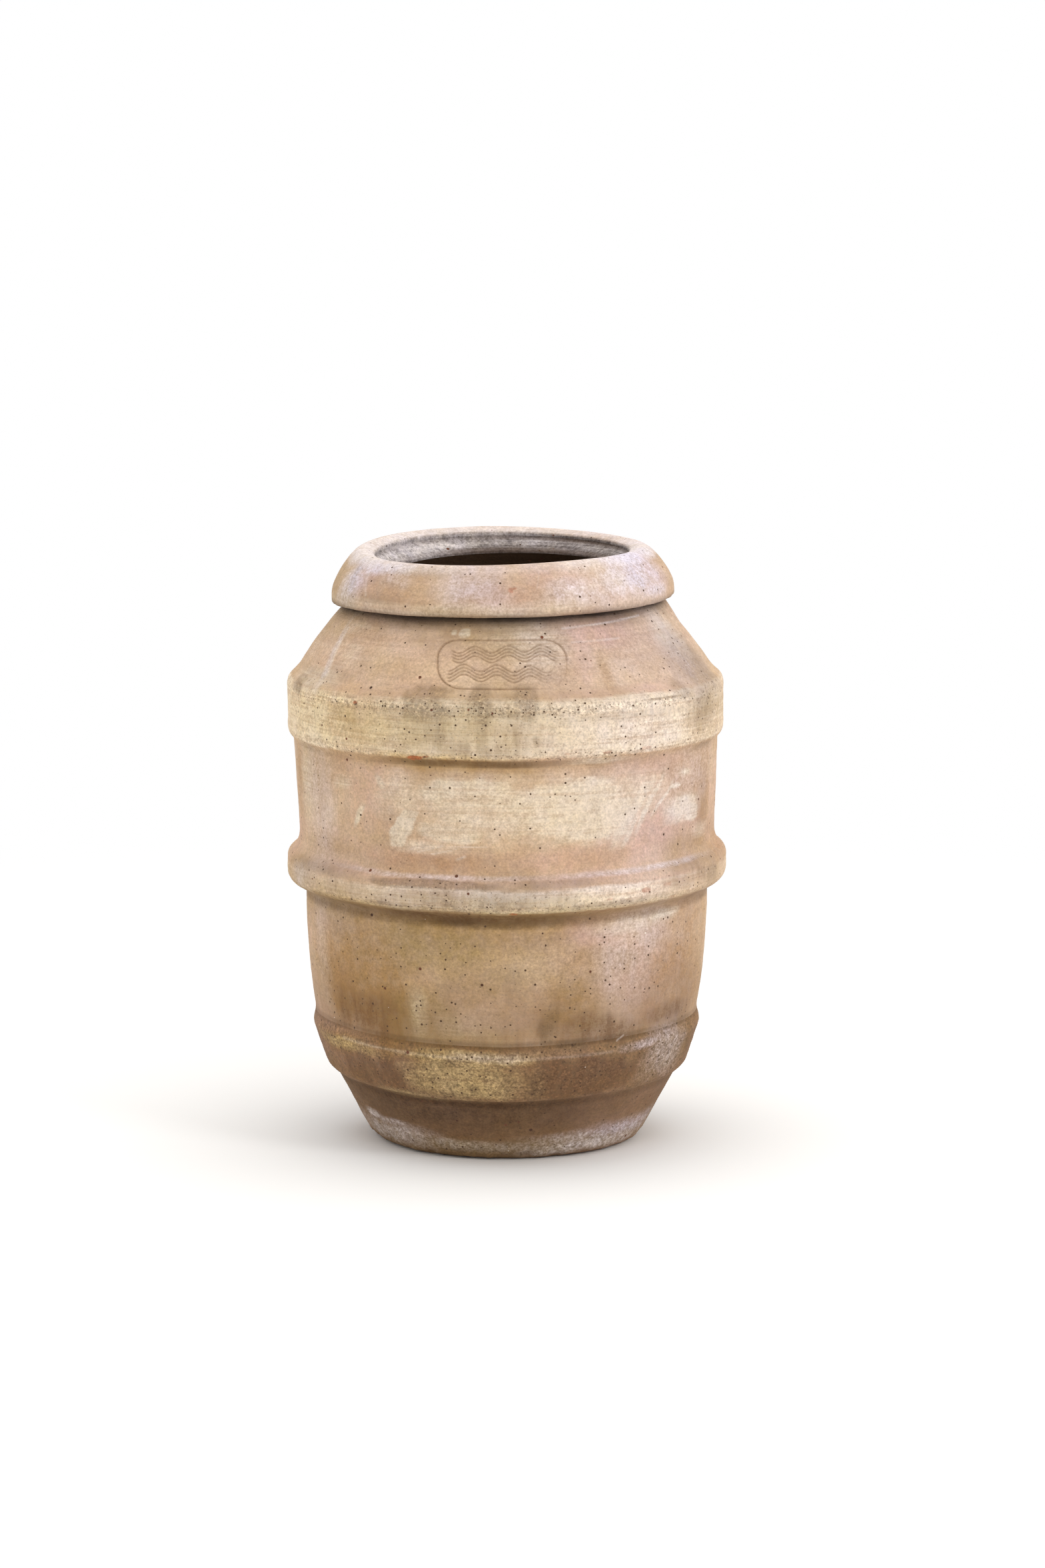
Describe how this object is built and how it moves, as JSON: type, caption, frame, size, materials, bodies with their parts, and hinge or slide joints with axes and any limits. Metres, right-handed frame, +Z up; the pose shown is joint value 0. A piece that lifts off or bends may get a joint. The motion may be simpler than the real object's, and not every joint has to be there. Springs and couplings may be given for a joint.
{
  "type": "olive jar",
  "caption": "Wide-mouthed terracotta olive jar with banded walls, a drawn-in shoulder and a thick rolled rim, for storing olives or oil.",
  "frame": {"origin": "centre of the underside of the floor, where the jar stands", "axes": "+Z up along the jar's turning axis; the jar is round, so X and Y are free, and the incised panel of the dressed model faces -Y"},
  "size_m": [0.594, 0.594, 0.8],
  "materials": {
    "terracotta_body": "unglazed, weathered",
    "terracotta_band": "unglazed, slip-washed and weathered",
    "terracotta_foot": "unglazed, stained by damp",
    "terracotta_inside": "unglazed, with a grey bloom of lime"
  },
  "bodies": {
    "root": {"floor_slab": "terracotta_foot", "floor_seam_coil": "terracotta_inside", "foot_wall": "terracotta_foot", "lower_band": "terracotta_foot", "lower_belly_wall": "terracotta_body", "middle_band": "terracotta_band", "upper_belly_wall": "terracotta_body", "upper_band": "terracotta_band", "shoulder_wall": "terracotta_body", "neck_collar": "terracotta_inside", "rim_roll": "terracotta_body"}
  },
  "joints": []
}
